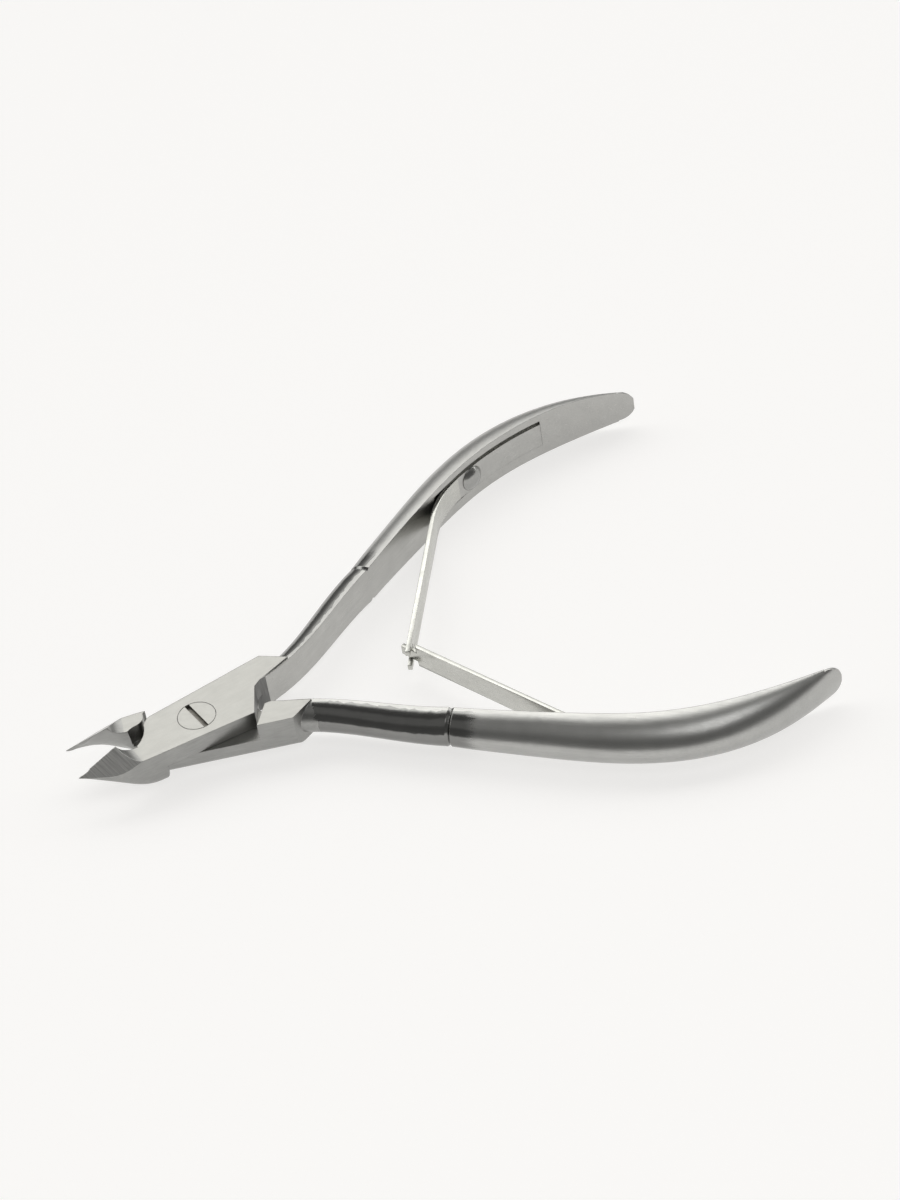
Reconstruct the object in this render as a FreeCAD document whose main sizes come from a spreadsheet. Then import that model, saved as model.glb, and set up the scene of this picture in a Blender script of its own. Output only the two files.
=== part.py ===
import FreeCAD, Part

import math
import os

import Sketcher

# Cuticle nipper: two lapped arms turning on one slotted pivot screw, pushed open by two riveted leaf
# springs whose ends interlock on the centre line.
#
# Frame: the origin is on the pivot axis, on the underside of the joint. +Z runs up the pivot axis to the
# screw's slotted head, +X back along the centre line to the handles, +Y to the upper arm's handle.
#
# Each arm, with its leaf and rivet, is drawn closed, with the jaw's cutting edge on the centre line, and
# its Placement opens it by half the opening angle. "out" is the side of the arm's handle: every y is
# multiplied by the arm's side, +1 for the upper arm and -1 for the lower one. The jaw is on the other
# side of the centre line. Lengths are in millimetres and angles in degrees.

SIZES = {
    # the joint
    "joint_height": 5.8,
    "lap_gap": 0.06,
    "half_opening": 9.2,
    # plan of a lap plate
    "nose_x": -5.8,
    "nose_y": 4.3,
    "nose_bow": -0.1,
    "brow_x": -7.1,
    "brow_y": 3.2,
    "brow_bow": 0.45,
    "throat_x": -9.9,
    "throat_y": -0.1,
    "nose_room": 0.45,
    "throat_front_x": -10.3,
    "throat_front_y": -0.15,
    "throat_rear_x": -8.85,
    "throat_rear_y": -1.1,
    "throat_bow": -0.15,
    "cheek_front_x": -9.0,
    "cheek_front_y": -3.6,
    "cheek_rear_x": 7.0,
    "cheek_rear_y": -4.8,
    "stop_x": 9.7,
    "stop_y": 0.1,
    "crotch_x": 10.9,
    "crotch_y": 0.8,
    # plan of the full-height shoulder behind it
    "wall_x": 8.0,
    "wall_y": 5.12,
    "wall_end_x": 9.95,
    "wall_end_y": 0.95,
    "shoulder_x": 13.3,
    "shoulder_y": 5.4,
    "shoulder_tip_x": 16.6,
    "shoulder_tip_y": 2.5,
    # rounding of the lower edge, along the handle's side of the joint
    "round_radius": 1.2,
    # inner face of the handle: bend, straight run, gentle waist and one long bow
    "handle_x": 12.0,
    "handle_y": 1.1,
    "root_slope": 13.0,
    "straight_slope": 27.2,
    "waist_slope": 22.7,
    "end_slope": -21.0,
    "root_run": 3.0,
    "root_radius": 24.0,
    "straight_run": 22.0,
    "waist_radius": 220.0,
    "bow_radius": 46.0,
    "end_x": 90.15,
    "end_radius": 2.7,
    # ring groove round the handle's back
    "ring_at": 25.4,
    "ring_width": 0.8,
    "ring_depth": 0.3,
    # cutting edge, the corner of the face ground along it, and the hollow ramp behind its heel
    "tip_x": -19.5,
    "tip_z": 5.32,
    "heel_x": -12.95,
    "heel_z": 7.7,
    "ground_x": -10.8,
    "ground_y": 3.4,
    "blank_height": 8.4,
    "ramp_x": -10.3,
    "ramp_radius": 2.8,
    # pivot screw
    "head_radius": 2.8,
    "head_thickness": 1.3,
    "head_clearance": 0.05,
    "journal_radius": 1.75,
    "journal_clearance": 0.04,
    "thread_radius": 1.5,
    "slot_width": 0.7,
    "slot_depth": 0.55,
    "slot_angle": 102.8,
    # leaf springs and their rivets
    "leaf_thickness": 0.7,
    "leaf_width": 4.1,
    "leaf_end_width": 3.7,
    "leaf_tail": 14.2,
    "leaf_lead": 3.0,
    "leaf_bend_radius": 17.0,
    "leaf_bend": 31.6,
    "fork_blade": 29.8,
    "tongue_blade": 29.3,
    "leaf_float": 0.05,
    "seat_depth": 0.68,
    "seat_room": 0.06,
    "seat_slit": 0.6,
    "seat_lead": 6.0,
    "handle_reach": 40.0,
    "rivet_at": 53.2,
    "rivet_head_radius": 2.05,
    "rivet_head_height": 0.9,
    "rivet_radius": 1.1,
    "rivet_length": 3.0,
    "fork_slot": 1.9,
    "fork_length": 3.6,
    "tongue_width": 1.6,
    "tongue_length": 3.1,
}

# Handle sections as (width of the inner face, depth of the rounded back). The front ones are placed by
# their distance along the inner face; the rear ones stand evenly from the ring groove to the end.
HANDLE_FRONT = [(0.0, 5.4, 2.8), (5.0, 5.4, 3.1), (14.5, 5.5, 3.6)]
HANDLE_REAR = [
    (6.1, 3.9),
    (6.6, 4.2),
    (7.1, 4.55),
    (7.4, 4.95),
    (7.6, 5.2),
    (7.75, 5.15),
    (7.75, 4.2),
    (6.9, 2.4),
    (4.8, 0.4),
]

# Jaw sections, from the tip back into the joint: x, then points as (distance from the centre line,
# height above mid-joint). The first is the cutting edge or throat; the others are the poles of the
# rounded hull, from the inner bottom round the belly and up the side to the rim.
JAW = [
    (-19.4, (0.04, 2.36), (0.06, 2.30), (0.08, 2.27), (0.11, 2.28), (0.12, 2.33), (0.12, 2.40)),
    (-17.4, (0.04, 3.02), (0.34, 2.24), (0.60, 1.62), (1.20, 1.52), (1.34, 1.95), (1.30, 2.40)),
    (-15.4, (0.04, 3.68), (0.62, 2.20), (1.20, 0.75), (2.30, 0.50), (2.46, 1.45), (2.40, 2.40)),
    (-13.4, (0.04, 4.32), (0.85, 1.62), (1.70, -0.60), (3.05, -0.75), (3.22, 0.85), (3.12, 2.50)),
    (-11.4, (0.16, 3.02), (0.80, 0.30), (1.90, -2.05), (3.35, -2.10), (3.46, 0.00), (3.38, 2.80)),
    (-9.4, (0.40, 2.60), (0.45, -1.55), (2.00, -2.90), (3.50, -2.80), (3.58, -0.70), (3.57, 2.90)),
    (-7.4, (0.40, 2.60), (0.40, -2.72), (2.10, -2.95), (3.66, -2.90), (3.70, -0.90), (3.70, 2.90)),
    (-5.4, (0.40, 2.60), (0.40, -2.90), (2.20, -2.90), (3.80, -2.90), (3.84, -1.00), (3.84, 2.90)),
]

doc = FreeCAD.newDocument("cuticle_nipper")
sheet = doc.addObject("Spreadsheet::Sheet", "Sizes")
for row, (alias, number) in enumerate(SIZES.items(), start=1):
    sheet.set("A%d" % row, alias)
    sheet.set("B%d" % row, str(number))
    sheet.setAlias("B%d" % row, alias)
doc.recompute()

V = FreeCAD.Vector
UP = V(0, 0, 1)
THROUGH = "20"


def size(expression):
    """The value of an expression written with the sheet's aliases, each after 'Sizes.'."""
    return float(sheet.evalExpression(expression))


MID = size("Sizes.joint_height / 2")
LAP_LOW = "Sizes.joint_height / 2 - Sizes.lap_gap / 2"


def new_body(name, placement):
    body = doc.addObject("PartDesign::Body", name)
    body.Label = name
    body.Placement = placement
    return body


def new_sketch(body, name, role="XY_Plane", offset=None):
    """A sketch on one of the body's own origin planes, moved by offset within that plane's frame."""
    sketch = body.newObject("Sketcher::SketchObject", name)
    plane = next(f for f in body.Origin.OriginFeatures if f.Role == role)
    sketch.AttachmentSupport = [(plane, "")]
    sketch.MapMode = "FlatFace"
    if offset is not None:
        sketch.AttachmentOffset = offset
    return sketch


def signed(text, side):
    return text if side > 0 else "-(%s)" % text


def bind_point(sketch, edge, end, x, y):
    """Holds one end of an edge at (x, y), both expressions."""
    for kind, text in (("DistanceX", x), ("DistanceY", y)):
        constraint = Sketcher.Constraint(kind, -1, 1, edge, end, size(text))
        index = sketch.addConstraint(constraint)
        sketch.setExpression("Constraints[%d]" % index, text)


def outline(sketch, corners, bows=None):
    """A closed outline. Corners are pairs of expressions; bows gives edge numbers that are arcs, each
    with how far the arc's middle stands to the left of its chord."""
    bows = bows or {}
    points = [V(size(x), size(y), 0) for x, y in corners]
    count = len(points)
    for i, start in enumerate(points):
        end = points[(i + 1) % count]
        if i in bows:
            chord = end - start
            left = UP.cross(chord).normalize()
            middle = (start + end) / 2 + left * bows[i]
            sketch.addGeometry(Part.Arc(start, middle, end))
        else:
            sketch.addGeometry(Part.LineSegment(start, end))
            bind_point(sketch, i, 1, *corners[i])
            bind_point(sketch, i, 2, *corners[(i + 1) % count])


def circle(sketch, radius):
    sketch.addGeometry(Part.Circle(V(), UP, size(radius)))
    index = sketch.addConstraint(Sketcher.Constraint("Radius", 0, size(radius)))
    sketch.setExpression("Constraints[%d]" % index, radius)


def pad(body, sketch, name, bottom, top):
    """Pads a plan sketch from one height to another, both expressions."""
    sketch.setExpression(".AttachmentOffset.Base.z", bottom)
    feature = body.newObject("PartDesign::Pad", name)
    feature.Profile = sketch
    feature.setExpression("Length", "(%s) - (%s)" % (top, bottom))
    return feature


def pocket(body, sketch, name, length, reverse=False, both=False):
    """Cuts the sketch's outline away against its normal, along it when reversed, or both ways."""
    doc.recompute()
    before = body.Shape.Volume
    feature = body.newObject("PartDesign::Pocket", name)
    feature.Profile = sketch
    feature.setExpression("Length", length)
    feature.Reversed = reverse
    feature.Midplane = both
    doc.recompute()
    if not body.Shape.Volume < before - 1e-3:
        raise RuntimeError("%s cut nothing" % name)
    return feature


def loft(body, sections, name, ruled):
    feature = body.newObject("PartDesign::AdditiveLoft", name)
    feature.Profile = sections[0]
    feature.Sections = sections[1:]
    feature.Ruled = ruled
    return feature


def bend(point, slope, new_slope, radius):
    """Where an arc of this radius ends, and its length; it turns from slope to new_slope, up or down."""
    a, b = math.radians(slope), math.radians(new_slope)
    turn = 1 if b > a else -1
    dx = turn * radius * (math.sin(b) - math.sin(a))
    dy = turn * radius * (math.cos(a) - math.cos(b))
    return V(point.x + dx, point.y + dy, 0), radius * abs(b - a)


def handle_path():
    """The inner face in plan, as (start distance, length, start point, slope, turn per length)."""
    runs = []
    point, at = V(size("Sizes.handle_x"), size("Sizes.handle_y"), 0), 0.0
    slope = size("Sizes.root_slope")
    for kind, amount, extra in (
        ("run", "root_run", None),
        ("bend", "straight_slope", "root_radius"),
        ("run", "straight_run", None),
        ("bend", "waist_slope", "waist_radius"),
        ("bend", "end_slope", "bow_radius"),
    ):
        value = size("Sizes." + amount)
        if kind == "run":
            length, new_slope = value, slope
            a = math.radians(slope)
            end = point + V(math.cos(a), math.sin(a), 0) * length
        else:
            new_slope = value
            end, length = bend(point, slope, new_slope, size("Sizes." + extra))
        runs.append((at, length, point, slope, (new_slope - slope) / length))
        point, slope, at = end, new_slope, at + length
    return runs


PATH = handle_path()
HANDLE_END = PATH[-1][0] + PATH[-1][1]


def on_handle(distance):
    """The point on the inner face that far along it, and the slope there."""
    at, _, point, slope, rate = [run for run in PATH if run[0] <= distance][-1]
    along = distance - at
    if rate:
        new_slope = slope + rate * along
        return bend(point, slope, new_slope, abs(math.degrees(1 / rate)))[0], new_slope
    a = math.radians(slope)
    return point + V(math.cos(a), math.sin(a), 0) * along, slope


def across_handle(side, distance, into=0.0):
    """A frame on the inner face: x points out through the handle, y is +Z, moved into the handle."""
    point, slope = on_handle(distance)
    a = math.radians(slope)
    out = V(-math.sin(a), side * math.cos(a), 0)
    base = V(point.x, side * point.y, MID) + out * into
    return FreeCAD.Placement(base, FreeCAD.Rotation(out, UP, out.cross(UP), "XYZ"))


def handle_section(body, side, name, distance, width, depth):
    """A D: the flat inner face and a half ellipse for the back."""
    sketch = new_sketch(body, name, offset=across_handle(side, distance))
    half = width / 2
    if half > depth:
        ellipse = Part.Ellipse(V(0, half, 0), V(-depth, 0, 0), V())
    else:
        ellipse = Part.Ellipse(V(depth, 0, 0), V(0, half, 0), V())
    low, high = V(0, -half, 0), V(0, half, 0)
    sketch.addGeometry(Part.Arc(ellipse, ellipse.parameter(low), ellipse.parameter(high)))
    sketch.addGeometry(Part.LineSegment(high, low))
    return sketch


def add_handle(body, side):
    ring_at, ring_width = size("Sizes.ring_at"), size("Sizes.ring_width")
    ring_depth = size("Sizes.ring_depth")
    start = ring_at + ring_width
    step = (HANDLE_END - start) / (len(HANDLE_REAR) - 1)
    rear = [(start + i * step, *row) for i, row in enumerate(HANDLE_REAR)]
    width, depth = HANDLE_REAR[0]
    neck = (ring_at + ring_width / 2, width - 2 * ring_depth, depth - ring_depth)
    for name, rows in (
        ("HandleFront", HANDLE_FRONT + [(ring_at, width, depth)]),
        ("HandleRing", [(ring_at, width, depth), neck, (start, width, depth)]),
        ("HandleRear", rear),
    ):
        sections = [
            handle_section(body, side, "%sSection%d" % (name, i), *row) for i, row in enumerate(rows)
        ]
        loft(body, sections, name, ruled=name == "HandleRing")


def round_handle_end(body):
    """Rounds the handle's end as seen from the side."""
    centre = "Sizes.end_x - Sizes.end_radius"
    far = "Sizes.end_x + Sizes.end_radius"
    heights = ["Sizes.joint_height / 2 + (%d) * Sizes.end_radius" % k for k in (-1, 1, 2, -2)]
    low, high, above, below = heights
    corners = [(centre, low), (centre, high), (centre, above), (far, above), (far, below), (centre, below)]
    sketch = new_sketch(body, "EndPlan", "XZ_Plane")
    outline(sketch, corners, {0: -size("Sizes.end_radius")})
    pocket(body, sketch, "RoundEnd", "2 * Sizes.handle_reach", both=True)


def add_jaw(body, side):
    """The forged blank of the jaw, then the two cuts that shape its top."""
    sections = []
    blank = size("Sizes.blank_height")
    for i, (x, *corners) in enumerate(JAW):
        offset = FreeCAD.Placement(V(0, 0, x), FreeCAD.Rotation())
        sketch = new_sketch(body, "JawSection%d" % i, "YZ_Plane", offset)
        edge, *hull = (V(-side * out, MID + height, 0) for out, height in corners)
        belly = Part.BSplineCurve()
        belly.buildFromPoles(hull)
        sketch.addGeometry(belly)
        top_out, top_in = V(hull[-1].x, blank, 0), V(edge.x, blank, 0)
        for start, end in ((hull[-1], top_out), (top_out, top_in), (top_in, edge), (edge, hull[0])):
            sketch.addGeometry(Part.LineSegment(start, end))
        sections.append(sketch)
    loft(body, sections, "JawBlank", ruled=False)
    cut_ramp(body)
    cut_ground_face(body, side)


def cut_ramp(body):
    """Levels the blank with the joint's top, up to a hollow ramp that rises to the edge's heel."""
    radius = size("Sizes.ramp_radius")
    foot = ("Sizes.ramp_x", "Sizes.joint_height")
    head = ("Sizes.ramp_x - Sizes.ramp_radius", "Sizes.joint_height + Sizes.ramp_radius")
    over = "Sizes.blank_height + Sizes.ramp_radius"
    corners = [foot, head, (head[0], over), ("0", over), ("0", foot[1])]
    sketch = new_sketch(body, "RampPlan", "XZ_Plane")
    outline(sketch, corners, {0: radius * (1 - math.sqrt(0.5))})
    pocket(body, sketch, "Ramp", THROUGH, both=True)


def cut_ground_face(body, side):
    """Grinds the flat that runs from the cutting edge down to the rim."""
    tip = V(size("Sizes.tip_x"), 0, size("Sizes.tip_z"))
    heel = V(size("Sizes.heel_x"), 0, size("Sizes.heel_z"))
    corner = V(size("Sizes.ground_x"), -side * size("Sizes.ground_y"), size("Sizes.joint_height"))
    normal = side * (tip - heel).cross(corner - heel)
    edge = tip - heel
    frame = FreeCAD.Placement(heel, FreeCAD.Rotation(edge, normal.cross(edge), normal, "XZY"))
    half = "Sizes.blank_height"
    corners = [("-%s" % half, "-%s" % half), (half, "-%s" % half), (half, half), ("-%s" % half, half)]
    sketch = new_sketch(body, "GroundFacePlan", offset=frame)
    outline(sketch, corners)
    pocket(body, sketch, "GroundFace", "2 * Sizes.blank_height", reverse=True)


def plan(side, *names):
    """Corner expressions of an arm's plan: each name has an x and a y cell."""
    return [("Sizes.%s_x" % name, signed("Sizes.%s_y" % name, side)) for name in names]


def add_joint(body, side):
    """The lap plate, half the joint's height, and the full-height shoulder behind it."""
    low, high = ("0", LAP_LOW) if side < 0 else (LAP_LOW + " + Sizes.lap_gap", "Sizes.joint_height")
    corners = plan(side, "nose", "brow", "throat", "cheek_front", "cheek_rear", "stop", "crotch", "shoulder")
    lap = new_sketch(body, "LapPlan")
    outline(lap, corners, {0: side * size("Sizes.nose_bow"), 1: side * size("Sizes.brow_bow")})
    pad(body, lap, "Lap", low, high)
    shoulder = new_sketch(body, "ShoulderPlan")
    outline(shoulder, plan(side, "wall", "wall_end", "crotch", "shoulder_tip", "shoulder"))
    pad(body, shoulder, "Shoulder", "0", "Sizes.joint_height")


def round_joint(body, side):
    """Rounds the joint's lower edge from the nose back to the shoulder."""
    nose, shoulder = (V(size(x), size(y), 0) for x, y in plan(side, "nose", "shoulder"))
    along = shoulder - nose
    out = UP.cross(along) * side
    frame = FreeCAD.Placement(nose - along, FreeCAD.Rotation(out, along.cross(out), along, "ZXY"))
    radius = size("Sizes.round_radius")
    rise = signed("Sizes.round_radius", side)
    below = signed("-Sizes.round_radius", side)
    inside, outside = "-Sizes.round_radius", "Sizes.round_radius"
    corners = [(inside, "0"), ("0", rise), (outside, rise), (outside, below), (inside, below)]
    sketch = new_sketch(body, "RoundPlan", offset=frame)
    outline(sketch, corners, {0: -side * radius * (1 - math.sqrt(0.5))})
    pocket(body, sketch, "RoundEdge", str(3 * along.Length), reverse=True)


def cut_jaw_wall(body, side):
    """Clears the other arm's lap nose out of this arm's jaw, leaving room for it."""
    nose, brow = (
        ("Sizes.%s_x - Sizes.nose_room" % name, signed("-Sizes.%s_y" % name, side))
        for name in ("nose", "brow")
    )
    front, rear = plan(side, "throat_front", "throat_rear")
    far_out = signed("-Sizes.nose_y - 2", side)
    far_in = signed("Sizes.nose_y", side)
    corners = [front, rear, brow, nose, (nose[0], far_out), ("0", far_out), ("0", far_in)]
    corners.append((front[0], far_in))
    bows = ("throat_bow", "brow_bow", "nose_bow")
    sketch = new_sketch(body, "JawWallPlan")
    outline(sketch, corners, {i: side * size("Sizes." + bow) for i, bow in enumerate(bows)})
    edge = LAP_LOW + " + Sizes.lap_gap" if side > 0 else LAP_LOW
    sketch.setExpression(".AttachmentOffset.Base.z", edge)
    pocket(body, sketch, "JawWall", THROUGH, reverse=side < 0)


def cut_pivot(body, side):
    """The counterbored running hole in the upper arm, the threaded hole in the lower one."""
    if side > 0:
        seat = new_sketch(body, "HeadSeatPlan")
        circle(seat, "Sizes.head_radius + Sizes.head_clearance")
        seat.setExpression(".AttachmentOffset.Base.z", "Sizes.joint_height")
        pocket(body, seat, "HeadSeat", "Sizes.head_thickness")
        hole = new_sketch(body, "JournalPlan")
        circle(hole, "Sizes.journal_radius + Sizes.journal_clearance")
    else:
        hole = new_sketch(body, "ThreadPlan")
        circle(hole, "Sizes.thread_radius")
    hole.setExpression(".AttachmentOffset.Base.z", "Sizes.joint_height")
    pocket(body, hole, "PivotHole", THROUGH)


def face_arc(side, near, far, offset):
    """An arc along the inner face between two distances, offset from it towards the centre line."""
    points = []
    for distance in (near, (near + far) / 2, far):
        point, slope = on_handle(distance)
        a = math.radians(slope)
        points.append(V(point.x + math.sin(a) * offset, side * (point.y - math.cos(a) * offset), 0))
    return Part.Arc(*points)


def closed_outline(sketch, near, far):
    """Draws two long sides and the two short edges that join their ends."""
    for edge in near + far:
        sketch.addGeometry(edge)
    sketch.addGeometry(Part.LineSegment(near[0].StartPoint, far[0].StartPoint))
    sketch.addGeometry(Part.LineSegment(near[-1].EndPoint, far[-1].EndPoint))


LEAD = size("Sizes.rivet_at - Sizes.leaf_lead")
TAIL_END = size("Sizes.rivet_at + Sizes.leaf_tail")
LEAF_FLOOR = size("Sizes.leaf_float - Sizes.seat_depth")
LEAF_FACE = LEAF_FLOOR + size("Sizes.leaf_thickness")


def cut_spring_seat(body, side):
    """The shallow seat in the inner face that the leaf's tail lies in, wider than the leaf along its
    top, and the rivet's blind hole."""
    front, rear = LEAD - size("Sizes.seat_lead"), TAIL_END + size("Sizes.seat_room")
    splits = [rear, PATH[-1][0], front]
    floor = [face_arc(side, a, b, -size("Sizes.seat_depth")) for a, b in zip(splits, splits[1:])]
    clear = [face_arc(side, a, b, 1.0) for a, b in zip(splits, splits[1:])]
    sketch = new_sketch(body, "SeatPlan")
    closed_outline(sketch, floor, clear)
    low = "Sizes.joint_height / 2 - Sizes.leaf_width / 2 - Sizes.seat_room"
    sketch.setExpression(".AttachmentOffset.Base.z", low)
    pocket(body, sketch, "SpringSeat", "Sizes.leaf_width + Sizes.seat_room + Sizes.seat_slit", reverse=True)
    hole = new_sketch(body, "RivetHolePlan", offset=rivet_frame(side))
    circle(hole, "Sizes.rivet_radius")
    pocket(body, hole, "RivetHole", "Sizes.rivet_length")


def rivet_frame(side):
    """On the seat's floor at the rivet, its z pointing at the centre line."""
    frame = across_handle(side, size("Sizes.rivet_at"), size("Sizes.seat_depth"))
    return frame * FreeCAD.Placement(V(), FreeCAD.Rotation(V(0, 1, 0), V(0, 0, 1), V(-1, 0, 0), "XZY"))


def opened(side):
    """The Placement that opens an arm, and all that is fixed to it, from closed to rest."""
    return FreeCAD.Placement(V(), FreeCAD.Rotation(UP, side * size("Sizes.half_opening")))


def make_arm(name, side):
    body = new_body(name, opened(side))
    add_joint(body, side)
    round_joint(body, side)
    add_handle(body, side)
    round_handle_end(body)
    add_jaw(body, side)
    cut_jaw_wall(body, side)
    cut_pivot(body, side)
    cut_spring_seat(body, side)
    return body


def leaf_sides(side, offset, blade):
    """One long side of the leaf in plan: the tail follows the handle's bow, the bend leaves it, and the
    blade runs straight across the centre line."""
    start, slope = on_handle(LEAD)
    radius = size("Sizes.leaf_bend_radius")
    turn = size("Sizes.leaf_bend")
    a = math.radians(slope)
    centre = start + V(math.sin(a), -math.cos(a), 0) * radius
    reach = radius - offset

    def on_bend(angle):
        b = math.radians(slope + angle)
        return V(centre.x - math.sin(b) * reach, side * (centre.y + math.cos(b) * reach), 0)

    b = math.radians(slope + turn)
    end = on_bend(turn)
    far = end - V(math.cos(b), side * math.sin(b), 0) * blade
    return [
        face_arc(side, TAIL_END, LEAD, offset),
        Part.Arc(on_bend(0), on_bend(turn / 2), end),
        Part.LineSegment(end, far),
    ]


def free_sketch(name):
    return doc.addObject("Sketcher::SketchObject", name)


def make_leaf(name, side):
    """A leaf is what its plan and its elevation have in common, less the rivet's hole. The upper leaf
    ends in a fork and the lower one in a tongue that lies between the fork's prongs."""
    blade = size("Sizes.fork_blade" if side > 0 else "Sizes.tongue_blade")
    plan_sketch = free_sketch(name + "_plan")
    near, far = leaf_sides(side, LEAF_FLOOR, blade), leaf_sides(side, LEAF_FACE, blade)
    closed_outline(plan_sketch, near, far)
    plan_solid = doc.addObject("Part::Extrusion", name + "_plan_solid")
    plan_solid.Base = plan_sketch
    plan_solid.DirMode = "Custom"
    plan_solid.Dir = UP
    plan_solid.Solid = True
    plan_solid.setExpression("LengthFwd", "Sizes.joint_height")

    half, end_half = size("Sizes.leaf_width / 2"), size("Sizes.leaf_end_width / 2")
    tail_x = max(near[0].StartPoint.x, far[0].StartPoint.x) + 1
    lead_x = near[0].EndPoint.x
    tip_x = min(near[-1].EndPoint.x, far[-1].EndPoint.x)
    along = abs(near[-1].EndPoint.x - near[-1].StartPoint.x) / blade
    if side > 0:
        notch_x = tip_x + size("Sizes.fork_length") * along
        notch_half = size("Sizes.fork_slot / 2")
        tip = [(tip_x, end_half), (tip_x, notch_half), (notch_x, notch_half)]
    else:
        shoulder_x = tip_x + size("Sizes.tongue_length") * along
        tongue_half = size("Sizes.tongue_width / 2")
        tip = [(shoulder_x, end_half), (shoulder_x, tongue_half), (tip_x, tongue_half)]
    upper = [(tail_x, half), (lead_x, half)] + tip
    lower = [(x, -z) for x, z in reversed(upper)]
    corners = [V(x, MID + z, 0) for x, z in upper + lower]
    view_sketch = free_sketch(name + "_elevation")
    for start, end in zip(corners, corners[1:] + corners[:1]):
        view_sketch.addGeometry(Part.LineSegment(start, end))
    view_sketch.Placement = FreeCAD.Placement(V(), FreeCAD.Rotation(V(1, 0, 0), 90))
    view_solid = doc.addObject("Part::Extrusion", name + "_elevation_solid")
    view_solid.Base = view_sketch
    view_solid.DirMode = "Custom"
    view_solid.Dir = V(0, 1, 0)
    view_solid.Solid = True
    view_solid.Symmetric = True
    view_solid.setExpression("LengthFwd", "2 * Sizes.handle_reach")

    blank = doc.addObject("Part::Common", name + "_blank")
    blank.Base = plan_solid
    blank.Tool = view_solid
    hole = doc.addObject("Part::Cylinder", name + "_hole")
    hole.setExpression("Radius", "Sizes.rivet_radius + Sizes.leaf_float")
    hole.setExpression("Height", "4 * Sizes.leaf_thickness")
    hole.Placement = rivet_frame(side)
    leaf = doc.addObject("Part::Cut", name)
    leaf.Base = blank
    leaf.Tool = hole
    leaf.Label = name
    leaf.Placement = opened(side)
    return leaf


def make_rivet(name, side):
    """A domed head on the leaf and a plain shank pressed into the handle."""
    shank = doc.addObject("Part::Cylinder", name + "_shank")
    shank.setExpression("Radius", "Sizes.rivet_radius")
    shank.setExpression("Height", "Sizes.rivet_length + Sizes.leaf_thickness + 2 * Sizes.leaf_float")
    shank.setExpression(".Placement.Base.z", "-Sizes.rivet_length")
    dome = doc.addObject("Part::Sphere", name + "_dome")
    ball = "(Sizes.rivet_head_radius ^ 2 + Sizes.rivet_head_height ^ 2) / (2 * Sizes.rivet_head_height)"
    dome.setExpression("Radius", ball)
    drop = "(%s) - Sizes.rivet_head_height" % ball
    dome.setExpression("Angle1", "asin((%s) / (%s))" % (drop, ball))
    dome.setExpression(".Placement.Base.z", "Sizes.leaf_thickness + 2 * Sizes.leaf_float - (%s)" % drop)
    rivet = doc.addObject("Part::Fuse", name)
    rivet.Base = shank
    rivet.Tool = dome
    rivet.Label = name
    rivet.Placement = opened(side) * rivet_frame(side)
    return rivet


def make_screw(name):
    """A flush slotted head, a plain journal for the upper arm and a threaded end in the lower arm."""
    levels = ("0", "Sizes.joint_height / 2", "Sizes.joint_height - Sizes.head_thickness")
    tops = levels[1:] + ("Sizes.joint_height",)
    steps = []
    for part, foot, top in zip(("thread", "journal", "head"), levels, tops):
        step = doc.addObject("Part::Cylinder", "%s_%s" % (name, part))
        step.setExpression("Radius", "Sizes.%s_radius" % part)
        step.setExpression("Height", "(%s) - (%s)" % (top, foot))
        step.setExpression(".Placement.Base.z", foot)
        steps.append(step)
    blank = doc.addObject("Part::MultiFuse", name + "_blank")
    blank.Shapes = steps
    slot = doc.addObject("Part::Box", name + "_slot")
    slot.setExpression("Length", "4 * Sizes.head_radius")
    slot.setExpression("Width", "Sizes.slot_width")
    slot.setExpression("Height", "2 * Sizes.slot_depth")
    turn = FreeCAD.Placement(V(), FreeCAD.Rotation(UP, size("Sizes.slot_angle")))
    corner = V(-2 * size("Sizes.head_radius"), -size("Sizes.slot_width / 2"), 0)
    height = V(0, 0, size("Sizes.joint_height - Sizes.slot_depth"))
    slot.Placement = turn * FreeCAD.Placement(corner + height, FreeCAD.Rotation())
    screw = doc.addObject("Part::Cut", name)
    screw.Base = blank
    screw.Tool = slot
    screw.Label = name
    return screw


def check(objects):
    """Stops the script if an object of the document failed, or a piece isn't one valid solid."""
    for item in doc.Objects:
        if "Invalid" in item.State or "Error" in item.State:
            raise RuntimeError("%s is in state %s" % (item.Name, item.State))
    for item in objects:
        shape = item.Shape
        if shape.isNull() or not shape.isValid() or len(shape.Solids) != 1:
            raise RuntimeError("%s has a bad shape" % item.Label)


pieces = [
    make_arm("upper_handle_arm", 1),
    make_arm("lower_handle_arm", -1),
    make_screw("pivot_screw"),
    make_leaf("upper_spring_leaf", 1),
    make_leaf("lower_spring_leaf", -1),
    make_rivet("upper_spring_rivet", 1),
    make_rivet("lower_spring_rivet", -1),
]
doc.recompute()
check(pieces)

os.makedirs("parts", exist_ok=True)
for piece in pieces:
    piece.Shape.exportStep("parts/%s.step" % piece.Label)
    print(piece.Label, round(piece.Shape.Volume, 1), "mm3")
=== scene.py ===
import math

import bmesh
import bpy
from mathutils import Matrix, Vector


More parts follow.
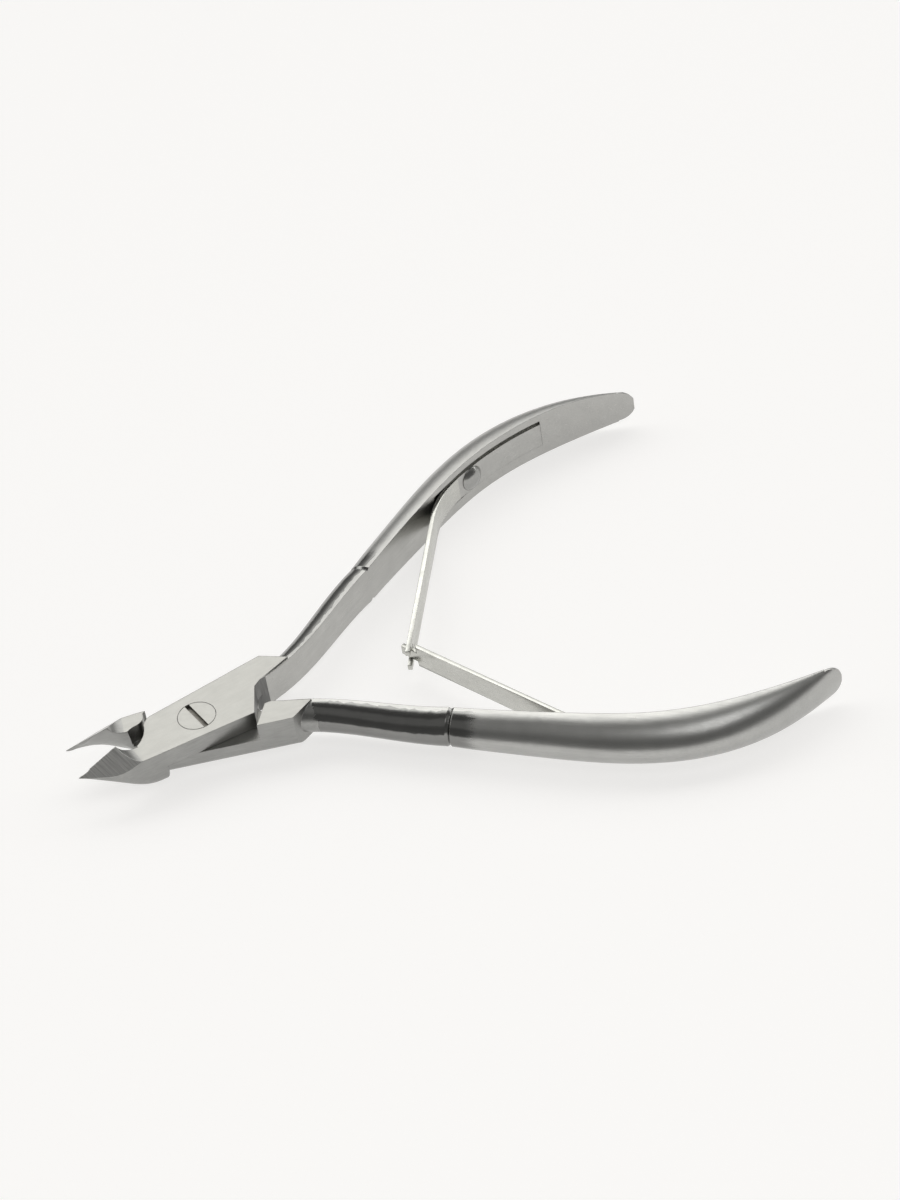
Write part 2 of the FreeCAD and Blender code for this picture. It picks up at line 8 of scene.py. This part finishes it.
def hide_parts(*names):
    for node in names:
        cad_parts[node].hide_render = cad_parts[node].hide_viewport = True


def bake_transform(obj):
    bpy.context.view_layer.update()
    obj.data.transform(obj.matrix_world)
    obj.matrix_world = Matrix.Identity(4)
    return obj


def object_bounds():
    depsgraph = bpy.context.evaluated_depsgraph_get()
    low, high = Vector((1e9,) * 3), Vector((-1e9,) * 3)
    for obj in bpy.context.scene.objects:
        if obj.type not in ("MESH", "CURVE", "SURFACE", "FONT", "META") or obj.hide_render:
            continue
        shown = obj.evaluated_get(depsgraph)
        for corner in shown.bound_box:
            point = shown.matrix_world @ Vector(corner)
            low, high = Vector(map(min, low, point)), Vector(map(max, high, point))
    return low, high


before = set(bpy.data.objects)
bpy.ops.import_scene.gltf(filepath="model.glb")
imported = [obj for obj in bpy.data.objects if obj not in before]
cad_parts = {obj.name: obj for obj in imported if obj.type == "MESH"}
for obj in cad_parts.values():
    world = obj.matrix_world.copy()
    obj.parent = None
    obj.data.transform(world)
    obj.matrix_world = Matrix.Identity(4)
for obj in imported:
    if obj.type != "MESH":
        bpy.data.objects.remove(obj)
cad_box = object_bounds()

MM = 0.001
PIVOT = Vector((0, 0, 2.9)) * MM

# the camera: where it stands round the pivot, in degrees, and how it is aimed, in metres
AZIMUTH, ELEVATION, ROLL = -15.25, 41.52, -10.02
DISTANCE = 0.4863
AIM_RIGHT, AIM_UP = 0.03623, 0.01884
LENS = 100.6
CLIP_START, CLIP_END = 0.01, 10

# a square lamp, a metre from the pivot
LAMP_AZIMUTH, LAMP_ELEVATION = 22, 66
LAMP_SIZE = 0.45
LAMP_POWER = 0.9

# the studio's grey levels, by degrees over an arch from the horizon in front of the tool, where the
# camera stands, to the horizon behind it; BACKDROP is what the camera itself sees past the floor
ARCH = [(0, 0.40), (8, 0.16), (50, 0.14), (64, 0.26), (86, 0.26), (96, 0.11), (112, 0.14), (119, 2.3),
        (133, 2.3), (139, 1.5), (149, 1.4), (157, 0.4), (168, 0.2), (180, 0.15)]
ARCH_GREEN, ARCH_BLUE = 0.995, 0.975
BACKDROP = (0.945, 0.94, 0.925, 1)

FLOOR_REACH = 3.0
PAPER, PAPER_GLOW, PAPER_GLOW_STRENGTH = (0.36, 0.357, 0.355, 1), (1, 0.99, 0.975, 1), 0.70

# each arm is described closed, and stands open by this much at rest
HALF_OPENING = math.radians(9.2)
SIDES = {"upper": 1, "lower": -1}

# the three corners of the face ground on a closed jaw, in millimetres: tip, heel and rim corner; the
# face lies in front of GROUND_END and above GROUND_LOW
GROUND = [Vector(c) for c in ((-19.5, 0, 5.32), (-12.95, 0, 7.7), (-10.8, -3.4, 5.8))]
GROUND_END, GROUND_LOW = -10, 4

# where the other finishes begin and end on a closed arm, in millimetres: the plate is the joint's flat
# top, the shoulder has an inner wall, the stop is the wall that the other arm closes on, and the seat
# is the notch for the leaf's tail
PLATE_START = -10.6
STOP_X, STOP_Y = (7, 10.5), (-4.8, 1)
SHOULDER_START, SHOULDER_MILLED_END = 9.5, 12
HANDLE_START = 16.5
SEAT_END = 70

# which way a face faces: an upright one's normal has less z than UPRIGHT, two directions are parallel
# when their product passes PARALLEL, and the others are limits on one part of the normal
UPRIGHT, PARALLEL = 0.05, 0.99
UPWARD, REARWARD, INWARD, STEEP = 0.97, 0.8, -0.3, 0.5

# along the handle's grain, in millimetres from the pivot, it is polished up to POLISH_END and satin
# from SATIN_START; the polished part's colour is darkened by a painted shade that stands in for the
# dark reflections it shows
POLISH_END, SATIN_START = 39, 41.5
POLISH_ROUGHNESS, POLISH_PAINTED_SHADE = 0.16, 0.54

# how far the grain turns, in radians: the handle's and the ground face's beyond the joint's, and the
# screw's
HANDLE_TURN, GROUND_TURN = math.radians(27), 0.35
SCREW_TURN = 0.4

# the screw's faces below this, which are its slot, its shank and its end, have the slot's finish
SLOT_TOP = 5.75 * MM

# where the leaf leaves the upper handle, and where its bend ends; the lower leaf is its mirror image
LEAF_START, LEAF_END = Vector((53.35, 30.76, 2.9)) * MM, Vector((46.85, 24.2, 2.9)) * MM
LEAF_BEVEL, LEAF_BEVEL_STEPS = 0.1 * MM, 2
LEAF_FLAT, LEAF_CORNER, LEAF_CREASE = math.radians(0.5), math.radians(40), math.radians(35)

EDGE_RADIUS, EDGE_SAMPLES = 0.13 * MM, 6
EDGE_ANGLE = math.radians(22)
WELD = 0.001 * MM

WARM, PALE, GREY = (0.43, 0.427, 0.405), (0.40, 0.40, 0.388), (0.22, 0.22, 0.215)
BRIGHT, HANDLE, INNER = (0.78, 0.775, 0.75), (0.52, 0.52, 0.505), (0.52, 0.518, 0.50)
LEAF, SLOT = (0.62, 0.62, 0.585), (0.22, 0.21, 0.19)

PLATE_GRAIN = {"grain": (0.5, 2.5, 2.5), "tone": 0.05, "spread": 0.02, "depth": 0.004, "mottle": 0.06}
HANDLE_GRAIN = {"grain": (0.12, 5, 5), "tone": 0.1, "spread": 0.04, "depth": 0.01}
GROUND_GRAIN = {"grain": (4.5, 0.2, 0.2), "tone": 0.45, "spread": 0.07, "depth": 0.03}
MILLED_GRAIN = {"grain": (3, 3, 0.3), "tone": 0.3, "spread": 0.06, "depth": 0.02}

# an arm's finishes, in the order of its materials
FINISHES = ("jaw_satin", "ground_edge", "plate_satin", "handle_steel", "inner_satin", "milled_steel")


class Tree:
    """The nodes of a material or world, added and linked one call at a time."""

    def __init__(self, data, shader="Principled BSDF"):
        data.use_nodes = True
        self.nodes = data.node_tree.nodes
        self.links = data.node_tree.links
        self.shader = self.nodes[shader]

    def set(self, node, values):
        for key, value in values.items():
            if isinstance(value, bpy.types.NodeSocket):
                self.links.new(value, node.inputs[key])
            else:
                node.inputs[key].default_value = value

    def add(self, kind, inputs=(), **values):
        made = self.nodes.new("ShaderNode" + kind)
        for key, value in values.items():
            setattr(made, key, value)
        self.set(made, dict(inputs))
        return made

    def maths(self, operation, a, b=0.0):
        return self.add("Math", {0: a, 1: b}, operation=operation).outputs[0]

    def mix(self, factor, a, b, kind="FLOAT"):
        return self.add("Mix", {"Factor": factor, "A": a, "B": b}, data_type=kind).outputs["Result"]

    def span(self, value, low, high, to_low, to_high, kind="LINEAR"):
        inputs = {"Value": value, "From Min": low, "From Max": high, "To Min": to_low, "To Max": to_high}
        return self.add("MapRange", inputs, interpolation_type=kind).outputs["Result"]

    def vary(self, noise, low, high):
        """Stretches the range that a noise mostly stays in."""
        return self.span(noise, 0.3, 0.7, low, high)

    def place(self, turn=0.0, scale=(1, 1, 1)):
        """The piece's own coordinates in millimetres, turned about z and then stretched."""
        where = self.add("TexCoord").outputs["Object"]
        turned = self.add("Mapping", {"Vector": where, "Rotation": (0, 0, turn)})
        factors = tuple(s / MM for s in scale)
        return self.add("Mapping", {"Vector": turned.outputs[0], "Scale": factors}).outputs[0]

    def noise(self, where, scale, detail=3.0, roughness=0.5):
        inputs = {"Vector": where, "Scale": scale, "Detail": detail, "Roughness": roughness}
        return self.add("TexNoise", inputs).outputs["Fac"]


def steel(name, color, roughness, turn=0.0, grain=(0.15, 6.0, 6.0), tone=0.15, spread=0.05,
          depth=0.012, mottle=0.08, polished=False):
    """Ground steel. grain is how fine its lines are, per millimetre along x, y and z after the turn;
    tone, spread and depth are how far they change the colour, the roughness and the surface, and
    mottle is how far clouds change the colour. A polished steel is so only up to POLISH_END, and its
    colour there is darkened by a painted shade that stands in for the dark reflections it shows."""
    material = bpy.data.materials.new(name)
    t = Tree(material)
    lines = t.noise(t.place(turn, grain), 1.0, 4.0, 0.65)
    cloud = t.noise(t.place(), 0.35)
    specks = t.noise(t.place(), 9.0, 2.0)
    shade = t.maths("MULTIPLY", t.vary(lines, 1 - tone, 1), t.vary(cloud, 1 - mottle, 1))
    shade = t.maths("MULTIPLY", shade, t.span(specks, 0.35, 0.65, 0.96, 1))
    rough = t.vary(lines, roughness + spread, roughness - spread)
    height = lines
    if polished:
        along = t.add("SeparateXYZ", {"Vector": t.place(turn)}).outputs["X"]
        ragged = t.maths("ADD", along, t.vary(t.noise(t.place(turn, (0.2, 3, 3)), 1.0), -0.5, 0.5))
        satin = t.span(ragged, POLISH_END, SATIN_START, 0.0, 1.0, "SMOOTHSTEP")
        rough = t.mix(satin, POLISH_ROUGHNESS, rough)
        height = t.maths("MULTIPLY", lines, satin)
        # painted shade: the polished part's colour is darkened to stand in for the dark reflections it shows
        shade = t.maths("MULTIPLY", shade, t.span(satin, 0.0, 1.0, POLISH_PAINTED_SHADE, 1.0))
    tint = t.mix(shade, (0.0, 0.0, 0.0, 1), (*color, 1), "RGBA")
    bevel = t.add("Bevel", {"Radius": EDGE_RADIUS}, samples=EDGE_SAMPLES).outputs[0]
    bump = t.add("Bump", {"Height": height, "Strength": 0.4, "Distance": depth * MM, "Normal": bevel})
    t.set(t.shader, {"Base Color": tint, "Metallic": 1.0, "Roughness": rough, "Normal": bump.outputs[0]})
    return material


def closed(vector, side):
    """A point or direction of an arm at rest, turned back to the closed arm, with the handle's side
    of the centre line as positive y."""
    turned = Matrix.Rotation(-side * HALF_OPENING, 3, "Z") @ vector
    return Vector((turned.x, side * turned.y, turned.z))


def finish_of(centre, normal):
    """Which of the FINISHES a face of a closed arm has, from its centre in millimetres."""
    tip, heel, corner = GROUND
    ground = (tip - heel).cross(corner - heel).normalized()
    upright = abs(normal.z) < UPRIGHT
    if centre.x < GROUND_END and centre.z > GROUND_LOW and abs(normal.dot(ground)) > PARALLEL:
        return "ground_edge"
    if centre.x < HANDLE_START:
        if upright and normal.y < 0 and centre.x > SHOULDER_START:
            return "milled_steel" if centre.x < SHOULDER_MILLED_END else "inner_satin"
        if normal.z > UPWARD and centre.x > PLATE_START:
            return "plate_satin"
        by_stop = STOP_X[0] < centre.x < STOP_X[1] and STOP_Y[0] < centre.y < STOP_Y[1]
        return "milled_steel" if by_stop and upright and normal.x > REARWARD else "jaw_satin"
    inner_face = upright and normal.y < INWARD
    seat_wall = abs(normal.z) > PARALLEL and centre.x < SEAT_END
    return "inner_satin" if inner_face or seat_wall else "handle_steel"


def arm_steels(word, side):
    """An arm's materials, in the order of FINISHES."""
    joint_turn = -side * HALF_OPENING
    ground_turn = joint_turn - side * GROUND_TURN
    handle_turn = joint_turn - side * HANDLE_TURN
    looks = (
        (PALE, 0.33, joint_turn, {}),
        (BRIGHT, 0.36, ground_turn, GROUND_GRAIN),
        (WARM, 0.34, joint_turn, PLATE_GRAIN),
        (HANDLE, 0.33, handle_turn, {**HANDLE_GRAIN, "polished": True}),
        (INNER, 0.30, handle_turn, HANDLE_GRAIN),
        (GREY, 0.38, joint_turn, MILLED_GRAIN),
    )
    return [steel(word + "_" + finish, color, roughness, turn, **grain)
            for finish, (color, roughness, turn, grain) in zip(FINISHES, looks)]


def refinish(obj, materials):
    obj.data.materials.clear()
    for material in materials:
        obj.data.materials.append(material)


def link(obj):
    bpy.context.scene.collection.objects.link(obj)
    return obj


def towards(azimuth, elevation):
    """The direction from the pivot to something at these angles, in radians. Azimuth 0 is along -y."""
    level = Vector((math.sin(azimuth), -math.cos(azimuth), 0))
    return level * math.cos(elevation) + Vector((0, 0, math.sin(elevation)))


# arms, screw and rivets
for word, side in SIDES.items():
    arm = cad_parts[word + "_handle_arm"]
    refinish(arm, arm_steels(word, side))
    for face in arm.data.polygons:
        finish = finish_of(closed(face.center / MM, side), closed(face.normal, side))
        face.material_index = FINISHES.index(finish)

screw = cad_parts["pivot_screw"]
refinish(screw, [steel("screw_face", WARM, 0.34, SCREW_TURN, **PLATE_GRAIN), steel("screw_slot", SLOT, 0.4)])
for face in screw.data.polygons:
    face.material_index = int(face.center.z < SLOT_TOP)

rivet_steel = steel("rivet_steel", PALE, 0.22, grain=(2, 2, 2), tone=0.06)
for word in SIDES:
    refinish(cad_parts[word + "_spring_rivet"], [rivet_steel])

# smooth faces with crisp edges, on every CAD node
for name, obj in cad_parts.items():
    for face in obj.data.polygons:
        face.use_smooth = True
    weld = obj.modifiers.new("weld", "WELD")
    weld.merge_threshold = WELD
    split = obj.modifiers.new("split", "EDGE_SPLIT")
    split.split_angle = EDGE_ANGLE
    if "custom_normal" in obj.data.attributes:
        obj.data.attributes.remove(obj.data.attributes["custom_normal"])

# leaves: the CAD leaf, with rounded edges up to where it enters the handle, and the handle's own finish
# on the flat of its tail
leaf_steel = steel("leaf_steel", LEAF, 0.27, grain=(0.8, 0.8, 5), tone=0.1)
for word, side in SIDES.items():
    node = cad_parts[word + "_spring_leaf"]
    bm = bmesh.new()
    bm.from_mesh(node.data)
    bmesh.ops.remove_doubles(bm, verts=bm.verts, dist=WELD)
    bmesh.ops.dissolve_limit(bm, angle_limit=LEAF_FLAT, verts=bm.verts, edges=bm.edges)
    corners = [e for e in bm.edges if len(e.link_faces) == 2 and e.calc_face_angle() > LEAF_CORNER
               and min(v.co.x for v in e.verts) < LEAF_START.x]
    bmesh.ops.bevel(bm, geom=corners, offset=LEAF_BEVEL, segments=LEAF_BEVEL_STEPS, profile=0.5,
                    affect="EDGES")
    mesh = bpy.data.meshes.new(word + "_leaf_spring")
    bm.to_mesh(mesh)
    bm.free()
    mesh.materials.append(leaf_steel)
    mesh.materials.append(bpy.data.materials[word + "_inner_satin"])
    for face in mesh.polygons:
        face.use_smooth = True
        face.material_index = int(face.center.x > LEAF_START.x and abs(face.normal.z) < STEEP)
    mesh.set_sharp_from_angle(angle=LEAF_CREASE)
    leaf = link(bpy.data.objects.new(word + "_leaf_spring", mesh))
    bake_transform(leaf)
    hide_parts(node.name)

# floor
low = cad_box[0].z
floor_mesh = bpy.data.meshes.new("floor")
floor_corners = [(x * FLOOR_REACH, y * FLOOR_REACH, low) for x, y in ((-1, -1), (1, -1), (1, 1), (-1, 1))]
floor_mesh.from_pydata(floor_corners, [], [(0, 1, 2, 3)])
floor = link(bpy.data.objects.new("floor", floor_mesh))
paper = bpy.data.materials.new("floor")
t = Tree(paper)
t.set(t.shader, {"Base Color": PAPER, "Roughness": 0.9, "Specular IOR Level": 0.0,
                 "Emission Color": PAPER_GLOW, "Emission Strength": PAPER_GLOW_STRENGTH})
floor_mesh.materials.append(paper)

# camera
azimuth, elevation, roll = (math.radians(a) for a in (AZIMUTH, ELEVATION, ROLL))
front = towards(azimuth, 0)
back = towards(azimuth, elevation)
level_right = Vector((math.cos(azimuth), math.sin(azimuth), 0))
level_up = back.cross(level_right)
right = level_right * math.cos(roll) + level_up * math.sin(roll)
up = level_up * math.cos(roll) - level_right * math.sin(roll)
camera = link(bpy.data.objects.new("camera", bpy.data.cameras.new("camera")))
camera.data.lens = LENS
camera.data.clip_start, camera.data.clip_end = CLIP_START, CLIP_END
spot = PIVOT + right * AIM_RIGHT + up * AIM_UP + back * DISTANCE
camera.matrix_world = Matrix.Translation(spot) @ Matrix((right, up, back)).transposed().to_4x4()
bpy.context.scene.camera = camera

# lamp
lamp = bpy.data.lights.new("front_box", "AREA")
lamp.shape = "RECTANGLE"
lamp.size = lamp.size_y = LAMP_SIZE
lamp.energy = LAMP_POWER
to_lamp = towards(math.radians(LAMP_AZIMUTH), math.radians(LAMP_ELEVATION))
box = link(bpy.data.objects.new("front_box", lamp))
box.location = PIVOT + to_lamp
box.rotation_euler = to_lamp.to_track_quat("Z", "Y").to_euler()

# studio
world = bpy.data.worlds.new("studio")
bpy.context.scene.world = world
t = Tree(world, "Background")
way = t.add("TexCoord").outputs["Generated"]
ahead = t.add("VectorMath", {0: way, 1: tuple(front)}, operation="DOT_PRODUCT").outputs["Value"]
height = t.add("SeparateXYZ", {"Vector": way}).outputs["Z"]
over = t.maths("ARCTAN2", t.maths("MAXIMUM", height, 0.0), ahead)
ramp = t.add("ValToRGB", {"Fac": t.maths("DIVIDE", over, math.pi)})
ramp.color_ramp.interpolation = "EASE"
stops = ramp.color_ramp.elements
while len(stops) < len(ARCH):
    stops.new(0.5)
for stop, (degrees, grey) in zip(stops, ARCH):
    stop.position = degrees / 180
    stop.color = (grey, grey * ARCH_GREEN, grey * ARCH_BLUE, 1)
seen = t.add("LightPath").outputs["Is Camera Ray"]
t.set(t.shader, {"Color": t.mix(seen, ramp.outputs["Color"], BACKDROP, "RGBA"), "Strength": 1.0})
bpy.context.scene.view_settings.view_transform = "Standard"
